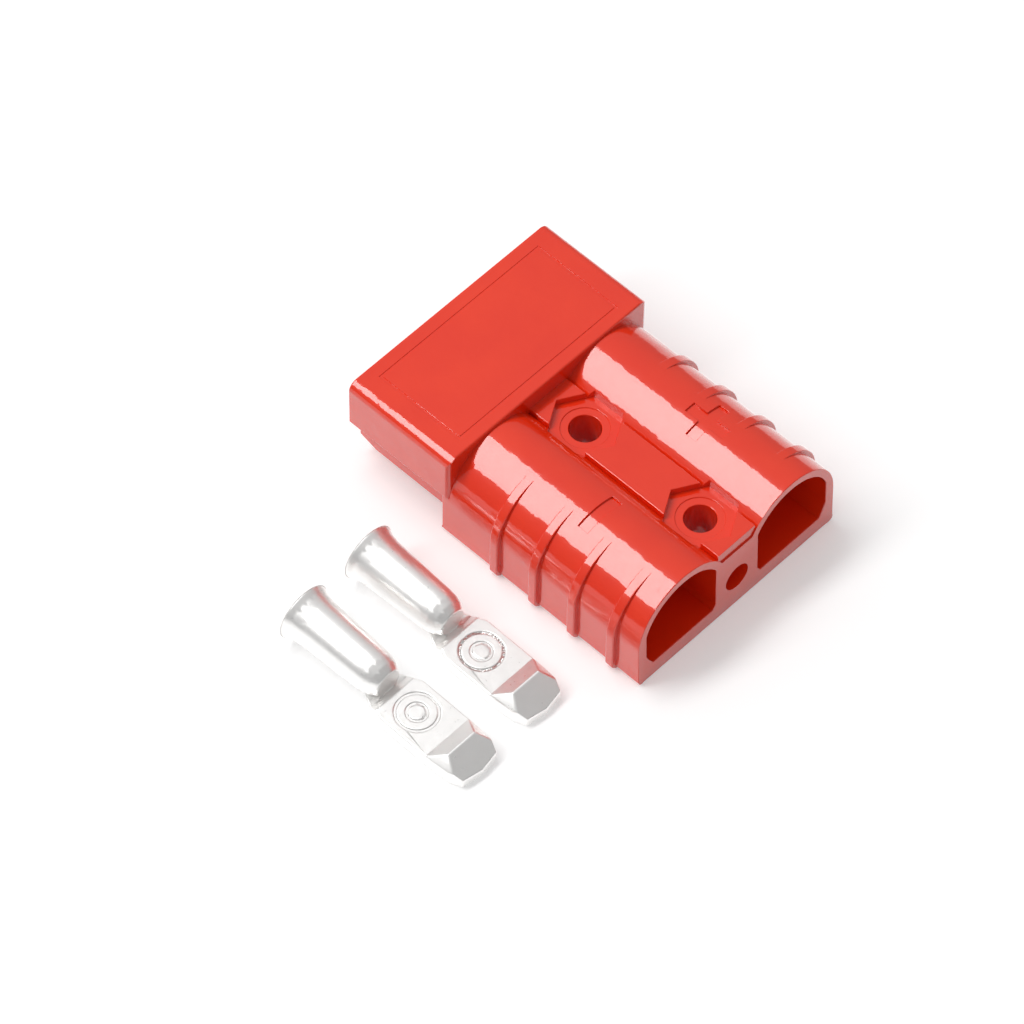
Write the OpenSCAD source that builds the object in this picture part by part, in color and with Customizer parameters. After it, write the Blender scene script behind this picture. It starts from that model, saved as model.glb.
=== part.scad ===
// Genderless two-pole power connector: a moulded housing with a leaf spring under each
// contact place, and the two crimp contacts laid out beside it.
// Millimetres. The origin lies on the underside, midway between the two screw holes.
// +Y is the mating direction, +X points to the positive pole, +Z is up.

/* [Body] */
// Width of the body across its flat sides
body_w = 36.2; // [34:0.1:42]
// Distance from the middle of the screw holes back to the wire end
body_back = 16.8; // [15.6:0.1:24]
// Distance from the middle of the screw holes forward to the foot of the hood
body_front = 17.8; // [16:0.1:24]
// Height of the parting edge where the flat sides end
parting_h = 7; // [6.5:0.1:8]
// Height of the top of each half-round wire barrel
barrel_h = 15.2; // [14.5:0.1:15.6]
// Slope of the wire end face away from the vertical, in degrees
back_draft = 2; // [0:0.25:4]
// Radius of the lower side edges
body_edge = 0.8; // [0.2:0.1:1.2]

/* [Middle web] */
// Width of the raised strip between the barrels
strip_w = 6.8; // [6:0.1:7.4]
// Height of the raised strip
strip_h = 12.9; // [12.4:0.1:14]
// Distance of the strip's end in front of the wire end
strip_back = 0.6; // [0:0.1:1]
// Distance between the two screw holes
hole_spacing = 20; // [18:0.1:21]
// Diameter of the screw holes
hole_d = 4.3; // [3:0.1:4.8]
// Width across the flats of the screw head recesses
recess_flats = 8.8; // [7:0.1:9.4]
// Depth of the screw head recesses below the strip
recess_depth = 1.1; // [0.4:0.1:2]
// Diameter of the shallow ring sunk round each screw hole
ring_d = 6.4; // [5.4:0.1:7.6]
// Depth of the shallow ring
ring_depth = 0.15; // [0.05:0.05:0.5]
// Diameter of the pilot hole in the wire end
pilot_d = 4.1; // [2:0.1:4.8]
// Depth of the pilot hole
pilot_depth = 3.6; // [1:0.1:4]
// Height of the pilot hole's axis
pilot_h = 5.4; // [4:0.1:8]

/* [Wire chambers] */
// Thickness of the wall between the screw holes and each chamber, from the middle out
chamber_in = 3.9; // [3.5:0.05:4.5]
// Distance from the middle to the outer wall of each chamber
chamber_out = 16.6; // [15.5:0.1:16.8]
// Height of the chamber floor
chamber_floor = 2.6; // [1.5:0.1:3]
// Wall left between the chamber roof and the outside of the barrel
barrel_wall = 1.2; // [0.8:0.1:1.6]
// Thickness of the front wall that stops the contact barrel
stop_wall = 1.8; // [1:0.1:3]

/* [Ribs] */
// Number of grip ribs on each side
rib_n = 4; // [1:1:6]
// Distance from one rib to the next
rib_pitch = 6.75; // [4:0.05:7]
// Place of the middle of the row of ribs along the body
rib_mid = -2.05; // [-3:0.05:0]
// Thickness of a rib
rib_t = 1.3; // [0.6:0.1:2]
// How far a rib stands out from the flat side
rib_proud = 0.7; // [0.3:0.05:1.2]
// Distance from the middle to the tip of a rib on the barrel
rib_tip = 11.9; // [10.5:0.1:14]

/* [Polarity marks] */
// Length of the strokes of the plus and minus marks
mark_len = 6.3; // [3:0.1:8]
// Width of the strokes
mark_w = 1.7; // [0.8:0.1:2.4]
// Depth of the strokes
mark_depth = 0.3; // [0.1:0.05:0.6]
// Place of the marks along the body
mark_y = -1.95; // [-6:0.05:6]

/* [Hood] */
// Width of the hood
hood_w = 36.5; // [36.5:0.1:44]
// Height of the hood above the underside
hood_h = 15.75; // [15.3:0.05:18]
// Reach of the hood beyond the front of the body
hood_reach = 16.45; // [14:0.05:24]
// How far the hood's shoulder laps back over the body
hood_lap = 1.3; // [0.5:0.1:3]
// Thickness of the hood's roof
roof_t = 2; // [1.2:0.1:2.6]
// Thickness of the hood's side walls
side_t = 1.8; // [1.2:0.1:2.2]
// Radius of the hood's upper side edges
hood_edge = 1.4; // [0.3:0.1:1.7]
// Radius of the hood's upright edges at its shoulder
hood_corner = 0.7; // [0.2:0.1:1.2]
// Thickness of the divider under the hood
divider_t = 2.4; // [1.2:0.1:4]
// Distance of the divider's front edge behind the mating face
divider_back = 3; // [0:0.5:8]
// Half width of the panel that a fine line frames on the roof
panel_half = 14.6; // [8:0.1:16]
// Length of the framed panel
panel_len = 14.2; // [6:0.1:15]
// Distance of the panel behind the mating face
panel_back = 1.9; // [0.5:0.1:4]
// Width of the line round the panel
panel_line = 0.35; // [0.2:0.05:0.8]
// Depth of the line round the panel
panel_depth = 0.1; // [0.05:0.05:0.3]

/* [Tongues] */
// Clearance to a mated connector on every side
mate_gap = 0.2; // [0.1:0.05:0.4]
// Thickness of the floor of a tongue
tongue_floor = 1.2; // [0.8:0.1:1.6]
// Thickness of the side walls of a tongue
tongue_wall = 1.25; // [0.8:0.05:1.6]
// Drop of the tongue walls below the mating plane
tongue_drop = 0.55; // [0.2:0.05:1.5]
// Thickness of the end wall of a tongue
tongue_end = 1.2; // [0.8:0.1:2]
// Height of the end wall above the tongue floor
tongue_end_h = 1.6; // [0.5:0.1:2.5]
// Length of the lead-in bevel under the front of a tongue
lead_len = 3; // [0.5:0.1:5]
// Rise of the lead-in bevel
lead_rise = 1; // [0.2:0.1:1.1]

/* [Leaf springs] */
// Width of a leaf spring
spring_w = 8.4; // [5:0.1:9.2]
// Thickness of a leaf spring
spring_t = 0.5; // [0.3:0.05:0.8]
// Rise of the spring's arch above the tongue floor
spring_rise = 2.2; // [1:0.1:2.8]
// Depth of the slot that holds the spring's foot
foot_depth = 0.6; // [0.3:0.05:0.7]
// Clearance round the spring's foot
foot_gap = 0.05; // [0.02:0.01:0.15]

/* [Contacts] */
// Outer diameter of the crimp barrel behind the bell mouth
crimp_d = 6.9; // [6.2:0.1:7.6]
// Outer diameter of the crimp barrel where its closed end begins
crimp_end_d = 6.1; // [5.8:0.1:7]
// Bore of the crimp barrel
crimp_bore = 5; // [3:0.1:5.2]
// Length of the crimp barrel
crimp_len = 15.2; // [12:0.1:20]
// Length of the barrel's closed end
crimp_end = 3; // [2.4:0.1:4]
// Outer diameter of the bell mouth
bell_d = 8.2; // [7.8:0.1:9.6]
// Length of the bell mouth
bell_len = 2.6; // [1.6:0.1:4]
// Width of the contact blade
blade_w = 7.9; // [6.5:0.1:9]
// Thickness of the contact blade
blade_t = 2; // [1.4:0.1:2.6]
// Length of the blade from its heel to the tip
blade_len = 15.5; // [14:0.1:20]
// Width of the neck where it leaves the blade
neck_w = 6.9; // [5:0.1:7.4]
// Width of the neck where it meets the barrel
neck_end_w = 4.4; // [3:0.1:4.6]
// Thickness of the neck at its thinnest
neck_t = 1.3; // [0.8:0.1:1.3]
// Height of the latch ridge above the blade
ridge_rise = 1.4; // [0.6:0.05:2]
// Width of the latch ridge
ridge_w = 4.7; // [3:0.1:6]
// Distance from the tip back to the latch ridge
ridge_back = 3.8; // [3.2:0.1:6]
// Thickness of the tip
tip_t = 1.3; // [0.8:0.1:1.4]
// Diameter of the ring stamped in the blade
stamp_d = 5.9; // [3:0.1:6.4]
// Distance from the middle of the housing to the nearer contact
contact_x = 29.2; // [26:0.1:40]
// Distance between the axes of the two contacts
contact_pitch = 12.2; // [10:0.1:30]
// Place of the nearer contact's mouth along the housing
contact_y = 20.3; // [5:0.1:30]
// How far the second contact lies behind the first
contact_step = 0.6; // [0:0.1:5]

/* [Hidden] */
$fn = 96;
eps = 0.01;
far = 60;

side_x = body_w / 2;
barrel_r = barrel_h - parting_h;
barrel_x = side_x - barrel_r;
front_y = body_front + hood_reach;
shoulder_y = body_front - hood_lap;
mate_z = hood_h / 2;

// Tongue outline: it fits between the roof and the side walls of a mated hood
tongue_z = roof_t + mate_gap;
tongue_out = hood_w / 2 - side_t - mate_gap;
channel_z = tongue_z + tongue_floor;
channel_out = tongue_out - tongue_wall;
channel_in = chamber_in + tongue_wall;
channel_x = (channel_in + channel_out) / 2;
channel_end = front_y - tongue_end;
tongue_top = mate_z - tongue_drop;
throat_gap = 1.2;
throat_top = mate_z + ridge_rise / 2 + throat_gap;

// Spring arch: a circular arc standing on the tongue floor
seat_gap = 0.3;
foot_step = 0.4;
foot_y = body_front + foot_step;
arch_y0 = foot_y + spring_t;
arch_y1 = channel_end - seat_gap;
arch_half = (arch_y1 - arch_y0) / 2;
arch_r = (arch_half * arch_half + spring_rise * spring_rise) / (2 * spring_rise);
arch_z = channel_z + spring_rise - arch_r;

// Rib outline: a circle through the rib's tip on the barrel and its outermost point
rib_x = side_x + rib_proud;
rib_edge = body_edge + rib_proud / 2;
tip_dx = rib_tip - barrel_x;
tip_rise2 = barrel_r * barrel_r - tip_dx * tip_dx;
rib_c = (rib_x * rib_x - rib_tip * rib_tip - tip_rise2) / (2 * (rib_x - rib_tip));

// Contact, drawn with its blade flat and its tip at y = 0, then laid down on bell and tip
ridge_z = blade_t + ridge_rise;
latch_run = 2.4;
neck_len = 1;
lip_t = 0.5;
lip_round = 0.1;
heel_y = blade_len;
end_y = heel_y + neck_len;
mouth_y = end_y + crimp_len;
crimp_z = crimp_end_d / 2;
lie_tilt = atan((bell_d / 2 - crimp_z) / (mouth_y - lip_round));
stamp_groove = 0.3;
stamp_depth = 0.12;
stamp_shift = 0.6;
stamp_y = (ridge_back + latch_run + heel_y) / 2 + stamp_shift;
heel_r = 1.7;
tip_half = blade_w / 2 - 0.9;
tip_bevel = 0.45;

// Extrudes an outline drawn in X and Z along Y, from y0 to y1
module along_y(y0, y1) {
    translate([0, y1, 0]) rotate([90, 0, 0]) linear_extrude(y1 - y0) children();
}

// Extrudes an outline drawn in Y and Z along X, centred on x, w wide
module along_x(x, w) {
    translate([x - w / 2, 0, 0]) rotate([90, 0, 90]) linear_extrude(w) children();
}

// Both poles: the children as drawn for the positive side, and their mirror image
module both_sides() {
    children();
    mirror([1, 0, 0]) children();
}

module box(x0, x1, y0, y1, z0, z1) {
    translate([x0, y0, z0]) cube([x1 - x0, y1 - y0, z1 - z0]);
}

// Outside of the body, seen from the wire end
module body_outline() {
    e = body_edge;
    translate([-side_x, e]) square([body_w, parting_h - e]);
    translate([e - side_x, 0]) square([body_w - 2 * e, parting_h]);
    for (s = [-1, 1]) translate([s * (side_x - e), e]) circle(e);
    intersection() {
        for (s = [-1, 1]) translate([s * barrel_x, parting_h]) circle(barrel_r);
        translate([-side_x, 0]) square([body_w, barrel_h]);
    }
    translate([-barrel_x, 0]) square([2 * barrel_x, parting_h + barrel_r / 2]);
}

// D-shaped outline of one wire chamber
module chamber_outline() {
    intersection() {
        translate([barrel_x, parting_h]) circle(barrel_r - barrel_wall);
        translate([chamber_in, chamber_floor])
            square([chamber_out - chamber_in, barrel_h]);
    }
}

module rib(y) {
    translate([0, rib_t / 2, 0]) intersection() {
        along_y(y - rib_t, y) {
            translate([rib_c, parting_h]) circle(rib_x - rib_c);
            translate([barrel_x, rib_edge]) square([rib_x - barrel_x, parting_h - rib_edge]);
            translate([barrel_x, 0]) square([rib_x - rib_edge - barrel_x, parting_h]);
            translate([rib_x - rib_edge, rib_edge]) circle(rib_edge);
        }
        box(barrel_x, far, y - far, y + far, 0, far);
    }
}

// One stroke of a polarity mark, sunk by the same depth all over the round barrel
module stroke(x, len_x, len_y) {
    difference() {
        box(x - len_x / 2, x + len_x / 2, mark_y - len_y / 2, mark_y + len_y / 2,
            parting_h, hood_h);
        translate([x, mark_y + len_y, parting_h])
            rotate([90, 0, 0]) cylinder(r = barrel_r - mark_depth, h = 2 * len_y);
    }
}

module screw_hole(y) {
    translate([0, y, -1]) cylinder(d = hole_d, h = hood_h + 2);
    translate([0, y, strip_h - recess_depth]) rotate([0, 0, 90])
        cylinder(d = recess_flats / cos(30), h = hood_h, $fn = 6);
    translate([0, y, strip_h - recess_depth - ring_depth]) cylinder(d = ring_d, h = hood_h);
}

// Outside of the hood, seen from the wire end
module hood_outline() {
    r = hood_edge;
    translate([-hood_w / 2, mate_z]) square([hood_w, hood_h - mate_z - r]);
    translate([-hood_w / 2 + r, mate_z]) square([hood_w - 2 * r, hood_h - mate_z]);
    for (s = [-1, 1]) translate([s * (hood_w / 2 - r), hood_h - r]) circle(r);
}

// Outside of the hood, seen from above, with round upright edges at the shoulder
module hood_plan() {
    r = hood_corner;
    translate([-hood_w / 2, shoulder_y + r]) square([hood_w, front_y + 1 - shoulder_y - r]);
    translate([r - hood_w / 2, shoulder_y]) square([hood_w - 2 * r, front_y + 1 - shoulder_y]);
    for (s = [-1, 1]) translate([s * (hood_w / 2 - r), shoulder_y + r]) circle(r);
}

// Fine line sunk round the panel on the roof
module panel_frame() {
    y1 = front_y - panel_back;
    y0 = y1 - panel_len;
    difference() {
        box(-panel_half, panel_half, y0, y1, hood_h - panel_depth, hood_h + 1);
        box(panel_line - panel_half, panel_half - panel_line, y0 + panel_line,
            y1 - panel_line, mate_z, hood_h + 2);
    }
}

// Hood: roof and side walls over the tongues, open at the front and below
module hood() {
    difference() {
        intersection() {
            union() {
                along_y(shoulder_y, front_y) hood_outline();
                box(-side_x, side_x, shoulder_y, body_front, mate_z - 1, hood_h - 2 * hood_edge);
            }
            linear_extrude(hood_h + 1) hood_plan();
        }
        box(-hood_w / 2 + side_t, hood_w / 2 - side_t, body_front, front_y + 1,
            mate_z - 1, hood_h - roof_t);
        panel_frame();
    }
    box(-divider_t / 2, divider_t / 2, body_front - eps, front_y - divider_back,
        mate_z, hood_h - roof_t + eps);
}

// Side view of a tongue, with the lead-in bevel under its front
module tongue_outline() {
    polygon([[body_front - 1, tongue_z], [front_y - lead_len, tongue_z],
             [front_y, tongue_z + lead_rise], [front_y, tongue_top],
             [body_front - 1, tongue_top]]);
}

module tongue() {
    difference() {
        along_x((chamber_in + tongue_out) / 2, tongue_out - chamber_in) tongue_outline();
        box(channel_in, channel_out, body_front - 2, channel_end, channel_z, mate_z);
        box(channel_in, channel_out, channel_end - 1, front_y + 1,
            channel_z + tongue_end_h, mate_z);
        box(channel_x - spring_w / 2 - foot_gap, channel_x + spring_w / 2 + foot_gap,
            foot_y - foot_gap, foot_y + spring_t + foot_gap,
            channel_z - foot_depth, mate_z);
    }
}

module housing() {
    color([0.86, 0.13, 0.09]) difference() {
        union() {
            along_y(-body_back, body_front) intersection() {
                body_outline();
                translate([-far, 0]) square([2 * far, mate_z]);
            }
            along_y(-body_back, shoulder_y + eps) body_outline();
            box(-strip_w / 2, strip_w / 2, strip_back - body_back, shoulder_y + eps,
                mate_z, strip_h);
            hood();
            both_sides() {
                tongue();
                for (k = [0:rib_n - 1]) rib(rib_mid + (k - (rib_n - 1) / 2) * rib_pitch);
            }
        }
        // The wire end face leans forward by its draft
        translate([0, -body_back, 0]) rotate([-back_draft, 0, 0])
            translate([-far, -far, -1]) cube([2 * far, far, far]);
        both_sides() {
            along_y(-body_back - 2, body_front - stop_wall) chamber_outline();
            box(channel_in, channel_out, body_front - stop_wall - 1, body_front + eps,
                channel_z, throat_top);
        }
        for (s = [-1, 1]) screw_hole(s * hole_spacing / 2);
        translate([0, -body_back + pilot_depth, pilot_h])
            rotate([90, 0, 0]) cylinder(d = pilot_d, h = pilot_depth + 2);
        stroke(-barrel_x, mark_len, mark_w);
        stroke(barrel_x, mark_len, mark_w);
        stroke(barrel_x, mark_w, mark_len);
    }
}

// Arched strip with a foot that stands in the slot of the tongue floor
module leaf_spring() {
    color("silver") {
        along_x(channel_x, spring_w) intersection() {
            translate([(arch_y0 + arch_y1) / 2, arch_z]) difference() {
                circle(arch_r, $fn = 200);
                circle(arch_r - spring_t, $fn = 200);
            }
            translate([foot_y, channel_z]) square([arch_y1 - foot_y, spring_rise + 1]);
        }
        box(channel_x - spring_w / 2, channel_x + spring_w / 2, foot_y, foot_y + spring_t,
            channel_z - foot_depth + foot_gap, channel_z + spring_t);
    }
}

module leaf_spring_positive() { leaf_spring(); }

module leaf_spring_negative() { mirror([1, 0, 0]) leaf_spring(); }

// Half section of the crimp barrel: radius against distance from the mouth
module crimp_section() {
    deep = crimp_len - crimp_end;
    r0 = crimp_d / 2;
    r1 = crimp_end_d / 2;
    rb = bell_d / 2;
    flare = rb - r0;
    polygon([[rb - lip_t, 0], [rb - lip_round, 0], [rb, lip_round],
             [r0 + flare * 0.35, bell_len * 0.45], [r0, bell_len], [r1, deep],
             [r1 * 0.96, deep + crimp_end * 0.35], [r1 * 0.85, deep + crimp_end * 0.7],
             [r1 * 0.66, crimp_len], [0, crimp_len], [0, deep], [crimp_bore / 2, deep],
             [crimp_bore / 2, bell_len]]);
}

// Outline of the blade seen from above: blunt bevelled tip, round heel and tapering neck
module blade_plan() {
    w = blade_w / 2;
    hull() {
        polygon([[-tip_half, tip_bevel], [0, 0], [tip_half, tip_bevel], [w * 0.95, blade_len * 0.15],
                 [w, blade_len / 3], [w, heel_y - heel_r], [-w, heel_y - heel_r],
                 [-w, blade_len / 3], [-w * 0.95, blade_len * 0.15]]);
        for (s = [-1, 1]) translate([s * (w - heel_r), heel_y - heel_r]) circle(heel_r, $fn = 32);
    }
    polygon([[-neck_w / 2, heel_y - neck_len], [neck_w / 2, heel_y - neck_len],
             [neck_w / 2, heel_y + 0.4 * neck_len], [0.46 * neck_w, end_y + 0.4 * neck_len],
             [0.39 * neck_w, end_y + 1.2 * neck_len], [neck_end_w / 2, end_y + 2 * neck_len],
             [-neck_end_w / 2, end_y + 2 * neck_len], [-0.39 * neck_w, end_y + 1.2 * neck_len],
             [-0.46 * neck_w, end_y + 0.4 * neck_len], [-neck_w / 2, heel_y + 0.4 * neck_len]]);
}

// Side view of the blade: thin tip, latch ridge, flat blade and dipped neck
module blade_side() {
    polygon([[0, 0], [0, tip_t], [ridge_back, ridge_z], [ridge_back + latch_run, blade_t],
             [heel_y - 0.2 * neck_len, blade_t], [heel_y + 0.8 * neck_len, neck_t],
             [end_y + 2 * neck_len, neck_t], [end_y + 2 * neck_len, neck_t / 2],
             [heel_y, 0]]);
}

// End view of the blade: the ridge is narrower than the blade below it
module blade_end() {
    w = blade_w / 2;
    polygon([[-w, 0], [w, 0], [w, blade_t], [ridge_w / 2, ridge_z], [-ridge_w / 2, ridge_z],
             [-w, blade_t]]);
}

// Two rings stamped in the flat of the blade, between the latch ridge and the heel
module stamp() {
    for (d = [stamp_d, stamp_d / 2])
        translate([0, stamp_y, blade_t - stamp_depth]) difference() {
            cylinder(d = d, h = 1);
            translate([0, 0, -1]) cylinder(d = d - 2 * stamp_groove, h = 3);
        }
}

// A crimp contact lying on its bell mouth and its tip, mouth at y = 0 and tip toward -Y
module contact() {
    color([0.85, 0.85, 0.84]) translate([0, -mouth_y * cos(lie_tilt), 0])
        rotate([lie_tilt, 0, 0]) {
            translate([0, mouth_y, crimp_z]) rotate([90, 0, 0])
                rotate_extrude() crimp_section();
            difference() {
                intersection() {
                    linear_extrude(ridge_z + 1) blade_plan();
                    along_x(0, 2 * blade_w) blade_side();
                    along_y(-1, mouth_y) blade_end();
                }
                stamp();
            }
        }
}

module contact_1() { translate([-contact_x, contact_y, 0]) contact(); }

module contact_2() {
    translate([-contact_x - contact_pitch, contact_y - contact_step, 0]) contact();
}

housing();
leaf_spring_positive();
leaf_spring_negative();
contact_1();
contact_2();
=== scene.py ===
"""Genderless two-pole power connector with its two crimp contacts lying beside it."""
import logging
import math
from dataclasses import dataclass, field
from enum import Enum
from typing import Callable

import bmesh
import bpy
from mathutils import Matrix, Vector
from mathutils.bvhtree import BVHTree


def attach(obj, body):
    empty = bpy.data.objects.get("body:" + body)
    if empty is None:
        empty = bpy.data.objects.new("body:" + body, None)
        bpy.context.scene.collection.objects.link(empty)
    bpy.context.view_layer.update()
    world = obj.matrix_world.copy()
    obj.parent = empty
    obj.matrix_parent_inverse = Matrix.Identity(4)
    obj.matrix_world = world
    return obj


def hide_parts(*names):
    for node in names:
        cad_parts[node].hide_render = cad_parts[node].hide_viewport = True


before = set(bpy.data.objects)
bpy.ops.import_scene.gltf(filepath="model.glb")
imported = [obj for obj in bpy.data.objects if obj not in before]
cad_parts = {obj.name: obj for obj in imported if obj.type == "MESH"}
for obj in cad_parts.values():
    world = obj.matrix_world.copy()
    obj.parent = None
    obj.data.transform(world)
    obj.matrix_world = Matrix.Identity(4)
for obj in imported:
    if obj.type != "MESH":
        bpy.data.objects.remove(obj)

logging.basicConfig(level=logging.INFO, format="%(name)s: %(message)s")
log = logging.getLogger("connector")

MM = 0.001
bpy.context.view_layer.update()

# Lengths in metres, turns in radians, and cosines between two normals.
WELD = 0.001 * MM  # points nearer than this are one point
SHARP = math.radians(24)  # an edge that folds less than this is not rounded
FLAT_TURN = math.radians(0.5)  # faces that turn less than this are one flat
QUAD_TURN = 0.001  # the largest turn between two triangles that are joined
QUAD_SKEW = 0.7  # the largest skew of the quad that they make
FOLDED_BACK = -0.99  # a triangle turned over against the CAD's surface
IN_LINE = 0.999  # two triangles that lie in one flat, either way up
ON_CAD = 0.003 * MM  # a face nearer than this lies in the CAD's surface
LIKE_CAD = 0.9999  # a face that looks the same way as the CAD's surface
LIKE_NEXT = 0.99999  # two faces of one flat
ON_ROUND = 0.03 * MM  # a point nearer than this lies on a cylinder
LIKE_ROUND = 0.985  # a face that looks the same way as its cylinder
BESIDE = 0.7  # a rounding's face that takes its neighbour's exact normal


class Pole(Enum):
    """The two poles of the connector."""

    POSITIVE = "positive"
    NEGATIVE = "negative"


class EdgeKind(Enum):
    """How an edge of a moulded part folds."""

    CONVEX = "convex"
    CONCAVE = "concave"
    SMOOTH = "smooth"


# ---------------------------------------------------------------- tools


def use_only(obj: bpy.types.Object) -> None:
    """Makes one object the only selected and active one.

    Args:
        obj: The object to work on.
    """
    bpy.ops.object.select_all(action="DESELECT")
    obj.select_set(True)
    bpy.context.view_layer.objects.active = obj


def apply_modifier(obj: bpy.types.Object, kind: str, **settings: object) -> None:
    """Adds a modifier with its settings and applies it.

    Args:
        obj: The object that takes the modifier.
        kind: Blender's name of the modifier type.
        settings: Properties to set on it.
    """
    use_only(obj)
    mod = obj.modifiers.new(kind.title(), kind)
    for name, value in settings.items():
        setattr(mod, name, value)
    bpy.ops.object.modifier_apply(modifier=mod.name)


def edge_kind(edge: bmesh.types.BMEdge) -> EdgeKind:
    """Tells how an edge folds.

    Args:
        edge: The edge, with its mesh's normals up to date.

    Returns:
        The kind of the edge.
    """
    if not edge.is_manifold or edge.calc_face_angle() < SHARP:
        return EdgeKind.SMOOTH
    return EdgeKind.CONVEX if edge.is_convex else EdgeKind.CONCAVE


def cad_tree(node: str) -> BVHTree:
    """Makes a CAD node's surface ready to be searched.

    Args:
        node: The CAD node.

    Returns:
        The tree of its faces.
    """
    return BVHTree.FromObject(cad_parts[node], bpy.context.evaluated_depsgraph_get())


def copy_of_node(node: str, name: str) -> bpy.types.Object:
    """Makes a piece from a copy of a CAD node, its points merged and its flats split anew.

    Args:
        node: The CAD node to copy.
        name: The new piece's name.

    Returns:
        The new piece, at the origin.
    """
    piece = bpy.data.objects.new(name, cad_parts[node].data.copy())
    piece.data.materials.clear()
    bpy.context.scene.collection.objects.link(piece)
    use_only(piece)
    bpy.ops.object.mode_set(mode="EDIT")
    bpy.ops.mesh.select_all(action="SELECT")
    bpy.ops.mesh.remove_doubles(threshold=WELD)
    bpy.ops.mesh.dissolve_limited(angle_limit=FLAT_TURN)
    bpy.ops.mesh.quads_convert_to_tris(quad_method="FIXED", ngon_method="BEAUTY")
    bpy.ops.mesh.tris_convert_to_quads(face_threshold=QUAD_TURN, shape_threshold=QUAD_SKEW)
    bpy.ops.object.mode_set(mode="OBJECT")
    unfold(piece, node)
    return piece


def unfold(piece: bpy.types.Object, node: str) -> None:
    """Turns an edge of each triangle that the split of a flat has folded back over it.

    Args:
        piece: The piece, its flats split.
        node: The CAD node it was copied from.
    """
    tree = cad_tree(node)
    bm = bmesh.new()
    bm.from_mesh(piece.data)
    bm.normal_update()
    folded = []
    for face in (f for f in bm.faces if len(f.verts) == 3):
        _, normal, _, distance = tree.find_nearest(face.calc_center_median())
        if distance < WELD and normal.dot(face.normal) < FOLDED_BACK:
            folded.append(face)
    for face in folded:
        for edge in sorted(face.edges, key=lambda e: -e.calc_length()):
            other = next((f for f in edge.link_faces if f is not face), None)
            if other is None or len(other.verts) != 3:
                continue
            if abs(other.normal.dot(face.normal)) > IN_LINE:
                bmesh.ops.rotate_edges(bm, edges=[edge])
                break
    bm.to_mesh(piece.data)
    bm.free()


def round_edges(
    piece: bpy.types.Object,
    radius_of: Callable[[Vector, EdgeKind], float],
    largest: float,
    segments: int = 3,
) -> None:
    """Rounds a piece's edges, each with its own radius, in one bevel.

    Args:
        piece: The piece to round.
        radius_of: Gives an edge's radius in metres from its middle and its kind.
        largest: The largest radius that radius_of gives.
        segments: How many faces a rounding has.
    """
    bm = bmesh.new()
    bm.from_mesh(piece.data)
    bm.normal_update()
    weight = bm.edges.layers.float.new("bevel_weight_edge")
    count = 0
    for edge in bm.edges:
        kind = edge_kind(edge)
        if kind is EdgeKind.SMOOTH:
            continue
        a, b = (v.co for v in edge.verts)
        radius = radius_of((a + b) / 2, kind)
        edge[weight] = radius / largest
        count += radius > 0
    bm.to_mesh(piece.data)
    bm.free()
    apply_modifier(
        piece, "BEVEL", width=largest, segments=segments, limit_method="WEIGHT",
        use_clamp_overlap=False, miter_outer="MITER_ARC",
    )
    log.info("%s: %d edges rounded", piece.name, count)


def finish_shading(piece: bpy.types.Object, angle: float = 32.0) -> None:
    """Shades a piece smooth, its larger faces flat, with its sharper edges left sharp.

    Args:
        piece: The piece to shade.
        angle: The fold in degrees above which an edge is sharp.
    """
    use_only(piece)
    bpy.ops.object.shade_smooth()
    bpy.ops.object.mode_set(mode="EDIT")
    bpy.ops.mesh.select_mode(type="EDGE")
    bpy.ops.mesh.select_all(action="DESELECT")
    bpy.ops.mesh.edges_select_sharp(sharpness=math.radians(angle))
    bpy.ops.mesh.mark_sharp()
    bpy.ops.object.mode_set(mode="OBJECT")
    apply_modifier(piece, "WEIGHTED_NORMAL", keep_sharp=True, weight=100)


@dataclass(frozen=True)
class Round:
    """A true cylinder in a piece, in millimetres."""

    at: tuple[float, float, float]
    axis: tuple[float, float, float]
    radius: float
    inward: bool = False

    def normal_at(self, place: Vector) -> Vector | None:
        """Gives the cylinder's normal at a place on it.

        Args:
            place: A place in metres.

        Returns:
            The normal, or None where the place is off the cylinder.
        """
        axis = Vector(self.axis).normalized()
        out = place / MM - Vector(self.at)
        out -= axis * out.dot(axis)
        if abs(out.length - self.radius) > ON_ROUND / MM:
            return None
        return -out.normalized() if self.inward else out.normalized()


def keep_in_box(piece: bpy.types.Object, node: str) -> None:
    """Brings every point of a piece inside its CAD node's box.

    Args:
        piece: The rounded piece.
        node: The CAD node it was copied from.
    """
    places = [v.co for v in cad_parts[node].data.vertices]
    low, high = ([pick(p[i] for p in places) for i in range(3)] for pick in (min, max))
    for vertex in piece.data.vertices:
        vertex.co = [min(max(c, a), b) for c, a, b in zip(vertex.co, low, high)]


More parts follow.
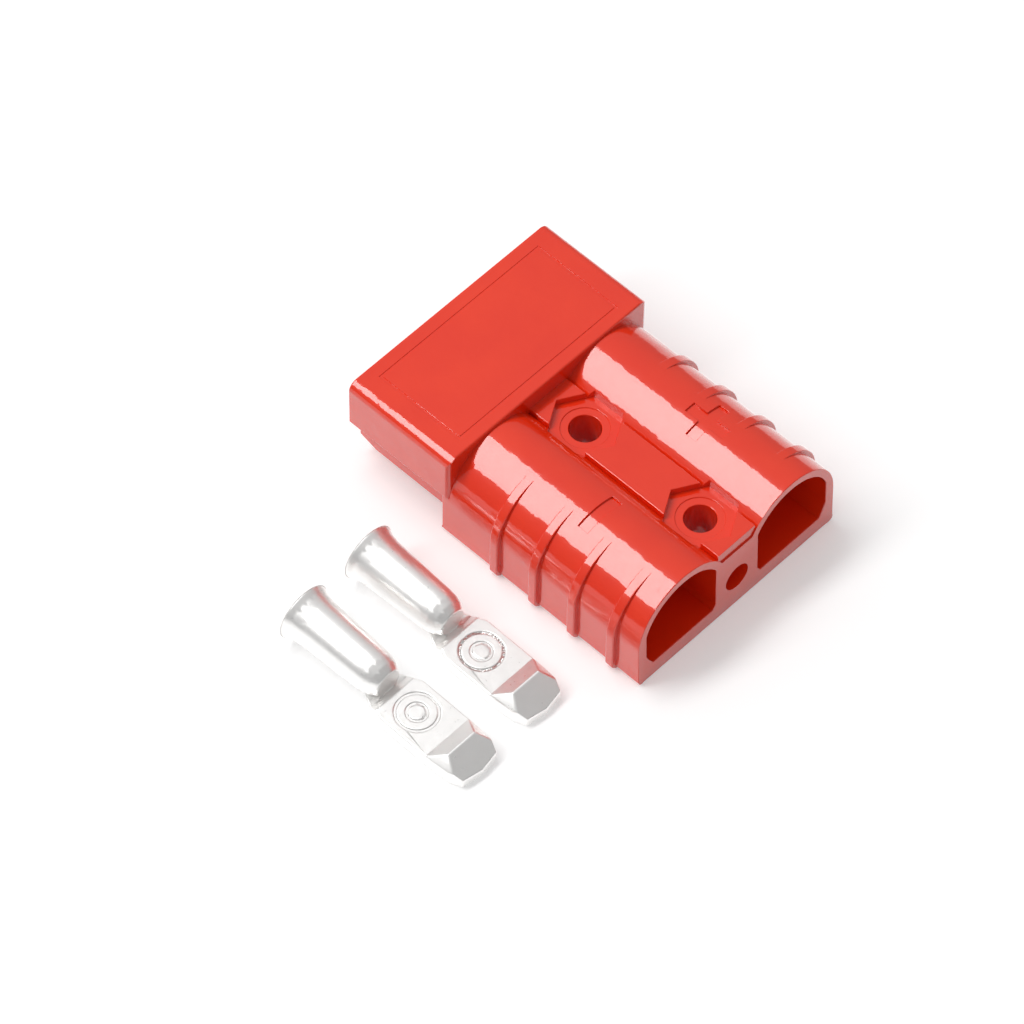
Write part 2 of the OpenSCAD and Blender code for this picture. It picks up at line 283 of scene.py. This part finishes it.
def flat_faces(piece: bpy.types.Object, node: str, least: float = 6.0) -> set[int]:
    """Finds the faces of a piece that lie in its CAD node's flats.

    Args:
        piece: The rounded piece.
        node: The CAD node it was copied from.
        least: The least area in square millimetres of a flat.

    Returns:
        The numbers of the faces.
    """
    tree = cad_tree(node)
    bm = bmesh.new()
    bm.from_mesh(piece.data)
    bm.faces.ensure_lookup_table()
    on_cad = set()
    for face in bm.faces:
        _, normal, _, distance = tree.find_nearest(face.calc_center_median())
        if distance < ON_CAD and normal.dot(face.normal) > LIKE_CAD:
            on_cad.add(face.index)
    flats: set[int] = set()
    seen: set[int] = set()
    for start in on_cad:
        if start in seen:
            continue
        seen.add(start)
        patch, queue = [], [bm.faces[start]]
        while queue:
            face = queue.pop()
            patch.append(face)
            for other in {f for e in face.edges for f in e.link_faces}:
                if other.index in seen or other.index not in on_cad:
                    continue
                if other.normal.dot(face.normal) > LIKE_NEXT:
                    seen.add(other.index)
                    queue.append(other)
        if sum(f.calc_area() for f in patch) > least * MM * MM:
            flats.update(f.index for f in patch)
    bm.free()
    return flats


def true_normals(piece: bpy.types.Object, rounds: list[Round], flats: set[int]) -> None:
    """Gives a piece's cylinders and flats their exact normals, and the roundings' ends the same.

    Args:
        piece: The piece, already shaded.
        rounds: Its cylinders.
        flats: The numbers of its flat faces.
    """
    mesh = piece.data
    normals = [Vector(n.vector) for n in mesh.corner_normals]
    anchors: dict[int, list[Vector]] = {}
    exact: set[int] = set()
    for face in mesh.polygons:
        places = [mesh.vertices[v].co for v in face.vertices]
        found = None
        for shape in rounds:
            found = [shape.normal_at(place) for place in places]
            if all(n is not None and n.dot(face.normal) > LIKE_ROUND for n in found):
                break
            found = None
        if found is None and face.index in flats:
            found = [face.normal.copy()] * len(places)
        if found is None:
            continue
        exact.add(face.index)
        for loop, vertex, normal in zip(face.loop_indices, face.vertices, found):
            normals[loop] = normal
            anchors.setdefault(vertex, []).append(normal)
    for face in mesh.polygons:
        if face.index in exact:
            continue
        for loop, vertex in zip(face.loop_indices, face.vertices):
            near = max(anchors.get(vertex, []), key=face.normal.dot, default=None)
            if near is not None and near.dot(face.normal) > BESIDE:
                normals[loop] = near
    mesh.normals_split_custom_set(normals)
    log.info("%s: %d faces have exact normals", piece.name, len(exact))


# ---------------------------------------------------------------- finishes


class NodeSheet:
    """A material's node tree with short calls to add and link nodes."""

    def __init__(self, name: str) -> None:
        """Starts an empty material.

        Args:
            name: The material's name.
        """
        self.material = bpy.data.materials.new(name)
        self.material.use_nodes = True
        self.tree = self.material.node_tree
        self.tree.nodes.clear()
        self.output = self.add("ShaderNodeOutputMaterial")
        self.coords = self.add("ShaderNodeTexCoord")

    def add(self, kind: str, **values: object) -> bpy.types.Node:
        """Adds a node.

        Args:
            kind: The node's type.
            values: Its properties, or its inputs with spaces written as underscores.

        Returns:
            The node.
        """
        node = self.tree.nodes.new(kind)
        for key, value in values.items():
            name = key.replace("_", " ")
            if name in node.inputs:
                node.inputs[name].default_value = value
            else:
                setattr(node, key, value)
        return node

    def link(self, source: bpy.types.NodeSocket, target: bpy.types.NodeSocket) -> None:
        """Links two sockets.

        Args:
            source: The output.
            target: The input that it feeds.
        """
        self.tree.links.new(source, target)

    def noise(self, scale: float, detail: float = 2.0, rough: float = 0.5) -> bpy.types.NodeSocket:
        """Adds noise on object coordinates.

        Args:
            scale: Cycles per metre.
            detail: Octaves of the noise.
            rough: Weight of the finer octaves.

        Returns:
            The noise's factor socket.
        """
        node = self.add("ShaderNodeTexNoise", Scale=scale, Detail=detail, Roughness=rough)
        self.link(self.coords.outputs["Object"], node.inputs["Vector"])
        return node.outputs["Fac"]

    def spread(
        self, fac: bpy.types.NodeSocket, low: float, high: float
    ) -> bpy.types.NodeSocket:
        """Maps a factor around one half to a range.

        Args:
            fac: The factor.
            low: The value at 0.3 and below.
            high: The value at 0.7 and above.

        Returns:
            The mapped value's socket.
        """
        node = self.add("ShaderNodeMapRange")
        node.inputs["From Min"].default_value = 0.3
        node.inputs["From Max"].default_value = 0.7
        node.inputs["To Min"].default_value = low
        node.inputs["To Max"].default_value = high
        self.link(fac, node.inputs["Value"])
        return node.outputs["Result"]

    def bump(
        self,
        height: bpy.types.NodeSocket,
        distance: float,
        strength: float,
        below: bpy.types.NodeSocket | None = None,
    ) -> bpy.types.NodeSocket:
        """Adds a bump.

        Args:
            height: The height's socket.
            distance: The height of a full step, in metres.
            strength: How much of it shows.
            below: The normal it builds on.

        Returns:
            The bumped normal's socket.
        """
        node = self.add("ShaderNodeBump", Strength=strength, Distance=distance)
        self.link(height, node.inputs["Height"])
        if below is not None:
            self.link(below, node.inputs["Normal"])
        return node.outputs["Normal"]


@dataclass(frozen=True)
class MouldedPlastic:
    """Glossy moulded thermoplastic, with the faint waviness and haze of a moulding."""

    name: str = "housing_red_plastic"
    colour: tuple[float, float, float] = (0.84, 0.034, 0.005)
    deep: tuple[float, float, float] = (0.80, 0.027, 0.004)
    specular: float = 0.2
    roughness: float = 0.18
    haze: float = 0.07
    coat: float = 1.0
    coat_roughness: float = 0.04
    wave: float = 0.00008
    grain: float = 0.000004

    def build(self) -> bpy.types.Material:
        """Builds the material.

        Returns:
            The material.
        """
        sheet = NodeSheet(self.name)
        shader = sheet.add("ShaderNodeBsdfPrincipled", IOR=1.5, Coat_IOR=1.5)
        shader.inputs["Specular IOR Level"].default_value = self.specular
        shader.inputs["Coat Weight"].default_value = self.coat
        shader.inputs["Coat Roughness"].default_value = self.coat_roughness
        mix = sheet.add("ShaderNodeMix", data_type="RGBA")
        mix.inputs["A"].default_value = (*self.deep, 1)
        mix.inputs["B"].default_value = (*self.colour, 1)
        sheet.link(sheet.spread(sheet.noise(140, 3), 0, 1), mix.inputs["Factor"])
        sheet.link(mix.outputs["Result"], shader.inputs["Base Color"])
        dullest = self.roughness + self.haze
        haze = sheet.spread(sheet.noise(900, 4, 0.6), self.roughness, dullest)
        sheet.link(haze, shader.inputs["Roughness"])
        flow = sheet.bump(sheet.noise(420, 2.5), self.wave, 0.7)
        grain = sheet.bump(sheet.noise(5200, 2), self.grain, 0.5, flow)
        sheet.link(grain, shader.inputs["Normal"])
        sheet.link(flow, shader.inputs["Coat Normal"])
        sheet.link(shader.outputs["BSDF"], sheet.output.inputs["Surface"])
        return sheet.material


@dataclass(frozen=True)
class PlatedMetal:
    """Metal with a bright plating: soft waviness and a fine haze."""

    name: str
    colour: tuple[float, float, float]
    tint: tuple[float, float, float]
    roughness: float
    spread: float
    wave: float
    wave_scale: float
    metallic: float

    def build(self) -> bpy.types.Material:
        """Builds the material.

        Returns:
            The material.
        """
        sheet = NodeSheet(self.name)
        shader = sheet.add("ShaderNodeBsdfPrincipled", Metallic=self.metallic)
        mix = sheet.add("ShaderNodeMix", data_type="RGBA")
        mix.inputs["A"].default_value = (*self.tint, 1)
        mix.inputs["B"].default_value = (*self.colour, 1)
        sheet.link(sheet.spread(sheet.noise(420, 4, 0.6), 0, 1), mix.inputs["Factor"])
        sheet.link(mix.outputs["Result"], shader.inputs["Base Color"])
        dullest = self.roughness + self.spread
        haze = sheet.spread(sheet.noise(1500, 5, 0.65), self.roughness, dullest)
        sheet.link(haze, shader.inputs["Roughness"])
        flow = sheet.bump(sheet.noise(self.wave_scale, 3, 0.6), self.wave, 0.6)
        sheet.link(flow, shader.inputs["Normal"])
        sheet.link(shader.outputs["BSDF"], sheet.output.inputs["Surface"])
        return sheet.material


SILVER = PlatedMetal(
    name="contact_silver_plate",
    colour=(0.985, 0.975, 0.96),
    tint=(0.95, 0.94, 0.925),
    roughness=0.27,
    spread=0.12,
    wave=0.00002,
    wave_scale=800.0,
    metallic=0.82,
)
SPRING_STEEL = PlatedMetal(
    name="spring_rolled_steel",
    colour=(0.74, 0.74, 0.73),
    tint=(0.68, 0.68, 0.67),
    roughness=0.30,
    spread=0.04,
    wave=0.0,
    wave_scale=400.0,
    metallic=0.9,
)


# ---------------------------------------------------------------- housing


Span = tuple[float, float]
ANY: Span = (-math.inf, math.inf)


def below(value: float) -> Span:
    """Gives the span of all that is less than a value.

    Args:
        value: The span's end.

    Returns:
        The span.
    """
    return (-math.inf, value)


def above(value: float) -> Span:
    """Gives the span of all that is more than a value.

    Args:
        value: The span's start.

    Returns:
        The span.
    """
    return (value, math.inf)


def around(value: float, reach: float) -> Span:
    """Gives the span on both sides of a value.

    Args:
        value: The span's middle.
        reach: How far it goes to either side.

    Returns:
        The span.
    """
    return (value - reach, value + reach)


@dataclass(frozen=True)
class Zone:
    """A region of the housing, alike on both sides, and its edges' radius, in millimetres."""

    radius: float
    side: Span = ANY
    y: Span = ANY
    z: Span = ANY

    def holds(self, side: float, y: float, z: float) -> bool:
        """Tells whether a place is in the region.

        Args:
            side: The place's distance from the middle plane.
            y: Its place along Y.
            z: Its height.

        Returns:
            Whether it is inside on all three counts.
        """
        spans = zip((side, y, z), (self.side, self.y, self.z))
        return all(low < value < high for value, (low, high) in spans)


@dataclass(frozen=True)
class Housing:
    """The one-piece moulded housing: its forms' places and edge radii, in millimetres."""

    finish: MouldedPlastic = field(default_factory=MouldedPlastic)
    hood_top: float = 15.75
    rear: float = -16.8
    hood_foot: float = 16.5
    tray_root: float = 17.8
    mark_y: float = -1.95
    strip_half: float = 3.4
    half: float = 18.1
    barrel_x: float = 9.9
    barrel_z: float = 7.0
    barrel_radius: float = 8.2
    mark_floor: float = 7.9
    chamber: float = 7.0
    rim: float = 0.12
    fine: float = 0.2
    shoulder: float = 0.3
    recess: float = 0.12
    sliver: float = 0.04
    mark: float = 0.07
    step: float = 0.09
    panel: float = 0.06
    rib_share: float = 0.35

    def zones(self) -> tuple[Zone, ...]:
        """Lists the regions that have a radius of their own.

        Returns:
            The regions. The first that holds an edge counts, and 0 leaves an edge sharp.
        """
        behind = below(self.rear + 1.0)
        before = below(self.hood_foot)
        foot = around(self.hood_foot, 0.8)
        roof = self.hood_top - 0.3
        ridge = self.hood_top - 0.02
        wall = self.strip_half + 1.5
        return (
            # The lower long edges' rear ends, and their ends at the tray.
            Zone(0.0, side=above(15.5), y=behind, z=below(1.2)),
            Zone(0.0, side=above(15.5), y=around(self.tray_root, 0.3), z=below(1.2)),
            # The throats and the pilot hole.
            Zone(0.0, side=below(15.5), y=(15.5, 19.0), z=(3.0, 10.5)),
            Zone(0.0, side=below(2.5), y=behind, z=(2.0, 10.0)),
            # The fine line round the roof panel, and the polarity marks.
            Zone(self.panel, side=below(14.9), y=above(self.hood_foot + 0.6), z=above(roof)),
            Zone(self.mark, side=(6.0, 14.0), y=around(self.mark_y, 3.4), z=above(12.0)),
            # The hood's rear shoulder and the edges under it.
            Zone(self.shoulder, y=foot, z=above(ridge)),
            Zone(0.0, y=foot, z=above(7.8)),
            # The step along the hood at half its height.
            Zone(self.step, side=above(self.half), z=around(self.hood_top / 2, 0.1)),
            # The rear face.
            Zone(self.sliver, side=below(6.4), y=behind, z=above(10.0)),
            Zone(self.rim, y=behind),
            # The middle strip's walls and its screw seats.
            Zone(self.sliver, side=(self.strip_half + 0.1, wall), y=before, z=above(8.0)),
            Zone(self.recess, side=below(wall), y=before, z=above(8.0)),
        )

    def edge_radius(self, at: Vector, kind: EdgeKind) -> float:
        """Gives the rounding of one edge.

        Args:
            at: The edge's middle, in metres.
            kind: How the edge folds.

        Returns:
            The radius in metres.
        """
        if kind is EdgeKind.CONCAVE:
            return 0.0
        x, y, z = (c / MM for c in at)
        side = abs(x)
        for zone in self.zones():
            if zone.holds(side, y, z):
                return zone.radius * MM
        if side > 9.0 and y < self.hood_foot:
            return min(self.fine, self.rib_share * self.proud(side, z)) * MM
        return self.fine * MM

    def proud(self, side: float, z: float) -> float:
        """Gives how far a place on a rib stands proud of the barrel and the side wall.

        Args:
            side: The place's distance from the middle plane, in millimetres.
            z: Its height.

        Returns:
            The distance in millimetres, 0 or more.
        """
        if z < self.barrel_z:
            return max(0.0, side - self.half)
        out = math.hypot(side - self.barrel_x, z - self.barrel_z)
        return max(0.0, out - self.barrel_radius)

    def rounds(self) -> list[Round]:
        """Lists the housing's true cylinders.

        Returns:
            The cylinders of both sides.
        """
        along, up = (0, 1, 0), (0, 0, 1)
        made = []
        for side in (-1, 1):
            barrel = (side * self.barrel_x, 0, self.barrel_z)
            made += [
                Round(barrel, along, self.barrel_radius),
                Round(barrel, along, self.mark_floor),
                Round(barrel, along, self.chamber, inward=True),
                Round((side * 16.85, 0, 14.35), along, 1.4),  # the hood's long upper edge
                Round((side * 17.55, 17.2, 0), up, 0.7),  # the hood's upright corner
                Round((side * 17.3, 0, 0.8), along, 0.8),  # the body's long lower edge
            ]
        return made

    def build(self) -> bpy.types.Object:
        """Builds and dresses the housing.

        Returns:
            The housing piece.
        """
        piece = copy_of_node("housing", "housing_moulding")
        round_edges(piece, self.edge_radius, self.shoulder * MM)
        keep_in_box(piece, "housing")
        finish_shading(piece)
        true_normals(piece, self.rounds(), flat_faces(piece, "housing"))
        piece.data.materials.append(self.finish.build())
        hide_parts("housing")
        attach(piece, "root")
        return piece


# ---------------------------------------------------------------- contacts and springs


@dataclass(frozen=True)
class CrimpContact:
    """A crimp contact lying on its bell mouth and tip."""

    number: int
    edge: float = 0.22
    sharp: float = 22.0
    flat: float = 5.5

    def edge_radius(self, at: Vector, kind: EdgeKind) -> float:
        """Gives the rounding of one edge of the contact.

        Args:
            at: The edge's middle, which makes no difference.
            kind: How the edge folds.

        Returns:
            The radius in metres.
        """
        return 0.0 if kind is EdgeKind.CONCAVE else self.edge * MM

    def build(self, material: bpy.types.Material) -> bpy.types.Object:
        """Builds and dresses the contact.

        Args:
            material: The plated finish.

        Returns:
            The contact piece.
        """
        node = f"contact_{self.number}"
        piece = copy_of_node(node, f"crimp_contact_{self.number}")
        round_edges(piece, self.edge_radius, self.edge * MM)
        keep_in_box(piece, node)
        finish_shading(piece, self.sharp)
        true_normals(piece, [], flat_faces(piece, node, self.flat))
        piece.data.materials.append(material)
        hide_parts(node)
        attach(piece, "root")
        return piece


@dataclass(frozen=True)
class LeafSpring:
    """The arched spring under one contact place."""

    pole: Pole
    edge: float = 0.08

    def build(self, material: bpy.types.Material) -> bpy.types.Object:
        """Builds and dresses the spring.

        Args:
            material: The steel finish.

        Returns:
            The spring piece.
        """
        node = f"leaf_spring_{self.pole.value}"
        piece = copy_of_node(node, f"arched_spring_{self.pole.value}")
        edge = self.edge * MM
        round_edges(piece, lambda at, kind: edge, edge, segments=2)
        finish_shading(piece)
        piece.data.materials.append(material)
        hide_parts(node)
        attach(piece, "root")
        return piece


# ---------------------------------------------------------------- studio


@dataclass(frozen=True)
class Camera:
    """The camera, by its place in millimetres and its axes."""

    at: tuple[float, float, float] = (-375.46, -328.71, 712.31)
    right: tuple[float, float, float] = (0.6936, -0.7203, 0.0102)
    up: tuple[float, float, float] = (0.5853, 0.5718, 0.5749)
    lens: float = 239.0
    sensor: float = 36.0
    clip: tuple[float, float] = (0.01, 10.0)

    def place(self) -> None:
        """Adds the camera and makes it the scene's."""
        data = bpy.data.cameras.new("camera")
        data.lens = self.lens
        data.sensor_width = self.sensor
        data.clip_start, data.clip_end = self.clip
        cam = bpy.data.objects.new("camera", data)
        right = Vector(self.right).normalized()
        up = (Vector(self.up) - right * right.dot(Vector(self.up))).normalized()
        turn = Matrix((right, up, right.cross(up))).transposed().to_4x4()
        cam.matrix_world = Matrix.Translation(Vector(self.at) * MM) @ turn
        bpy.context.scene.collection.objects.link(cam)
        bpy.context.scene.camera = cam


@dataclass(frozen=True)
class SoftBox:
    """A white area light that faces the connector, in metres."""

    name: str
    toward: tuple[float, float, float]
    distance: float
    size: tuple[float, float]
    radiance: float

    def place(self) -> None:
        """Adds the light."""
        data = bpy.data.lights.new(self.name, "AREA")
        data.shape = "RECTANGLE"
        data.size, data.size_y = self.size
        data.energy = self.radiance * math.pi * self.size[0] * self.size[1]
        lamp = bpy.data.objects.new(self.name, data)
        back = Vector(self.toward).normalized()
        right = Vector((0, 1, 0)).cross(back).normalized()
        turn = Matrix((right, back.cross(right), back)).transposed().to_4x4()
        lamp.matrix_world = Matrix.Translation(back * self.distance) @ turn
        bpy.context.scene.collection.objects.link(lamp)


@dataclass(frozen=True)
class Studio:
    """The pale floor, the world and the light."""

    floor_half: float = 1.2
    floor_drop: float = 0.00005
    floor_cuts: int = 8
    floor_colour: float = 0.80
    lift: float = 0.30
    gloss_lift: float = 0.40
    horizon: float = 0.33
    zenith: float = 0.50
    slope: float = 0.42
    backdrop: float = 1.0
    key: SoftBox = SoftBox("key_softbox", (-0.33, 0.39, 0.86), 0.60, (0.62, 0.13), 8.2)

    def floor(self) -> None:
        """Adds the floor, which takes shadows and shows near white."""
        bpy.ops.object.select_all(action="DESELECT")
        bpy.ops.mesh.primitive_grid_add(
            x_subdivisions=self.floor_cuts, y_subdivisions=self.floor_cuts, size=2 * self.floor_half
        )
        floor = bpy.context.active_object
        floor.name = "table_top"
        for vertex in floor.data.vertices:
            vertex.co.z = -self.floor_drop
        sheet = NodeSheet("table_white")
        white = sheet.add("ShaderNodeBsdfDiffuse")
        white.inputs["Color"].default_value = (self.floor_colour,) * 3 + (1,)
        glow = sheet.add("ShaderNodeEmission")
        path = sheet.add("ShaderNodeLightPath")
        seen = sheet.add("ShaderNodeMath", operation="MULTIPLY")
        seen.inputs[1].default_value = self.lift
        sheet.link(path.outputs["Is Camera Ray"], seen.inputs[0])
        level = sheet.add("ShaderNodeMath", operation="MULTIPLY_ADD")
        level.inputs[1].default_value = self.gloss_lift
        sheet.link(path.outputs["Is Glossy Ray"], level.inputs[0])
        sheet.link(seen.outputs[0], level.inputs[2])
        sheet.link(level.outputs[0], glow.inputs["Strength"])
        both = sheet.add("ShaderNodeAddShader")
        sheet.link(white.outputs[0], both.inputs[0])
        sheet.link(glow.outputs[0], both.inputs[1])
        sheet.link(both.outputs[0], sheet.output.inputs["Surface"])
        floor.data.materials.append(sheet.material)

    def world(self) -> None:
        """Sets a soft room, brighter overhead and toward +Y, with white behind the floor."""
        world = bpy.data.worlds.new("studio_room")
        bpy.context.scene.world = world
        world.use_nodes = True
        tree = world.node_tree
        tree.nodes.clear()

        def math_node(kind: str, *terms: object) -> bpy.types.NodeSocket:
            """Adds a math node.

            Args:
                kind: The operation.
                terms: Its terms, each a number or a socket.

            Returns:
                The result's socket.
            """
            node = tree.nodes.new("ShaderNodeMath")
            node.operation = kind
            for place, term in enumerate(terms):
                if isinstance(term, float):
                    node.inputs[place].default_value = term
                else:
                    tree.links.new(term, node.inputs[place])
            return node.outputs[0]

        coords = tree.nodes.new("ShaderNodeTexCoord")
        split = tree.nodes.new("ShaderNodeSeparateXYZ")
        tree.links.new(coords.outputs["Generated"], split.inputs[0])
        across = math_node("MULTIPLY_ADD", split.outputs["Y"], self.slope, self.zenith)
        height = math_node("MAXIMUM", split.outputs["Z"], 0.0)
        level = math_node("MULTIPLY_ADD", height, across, self.horizon)
        out = tree.nodes.new("ShaderNodeOutputWorld")
        dome = tree.nodes.new("ShaderNodeBackground")
        white = tree.nodes.new("ShaderNodeBackground")
        mix = tree.nodes.new("ShaderNodeMixShader")
        path = tree.nodes.new("ShaderNodeLightPath")
        tree.links.new(level, dome.inputs["Strength"])
        white.inputs["Strength"].default_value = self.backdrop
        tree.links.new(path.outputs["Is Camera Ray"], mix.inputs[0])
        tree.links.new(dome.outputs[0], mix.inputs[1])
        tree.links.new(white.outputs[0], mix.inputs[2])
        tree.links.new(mix.outputs[0], out.inputs["Surface"])

    def build(self) -> None:
        """Builds the whole studio."""
        self.floor()
        self.world()
        self.key.place()
        bpy.context.scene.view_settings.view_transform = "Standard"


# ---------------------------------------------------------------- main


def report(pieces: list[bpy.types.Object]) -> None:
    """Logs each piece's size.

    Args:
        pieces: The pieces to report.
    """
    for piece in pieces:
        size = [round(d / MM, 2) for d in piece.dimensions]
        log.info("%s: %s mm, %d faces", piece.name, size, len(piece.data.polygons))


def main() -> None:
    """Builds the camera, the studio and every piece in order."""
    Camera().place()
    Studio().build()
    silver = SILVER.build()
    steel = SPRING_STEEL.build()
    pieces = [Housing().build()]
    pieces += [CrimpContact(number).build(silver) for number in (1, 2)]
    pieces += [LeafSpring(pole).build(steel) for pole in Pole]
    report(pieces)
    bpy.ops.object.select_all(action="DESELECT")


if __name__ == "__main__":
    main()
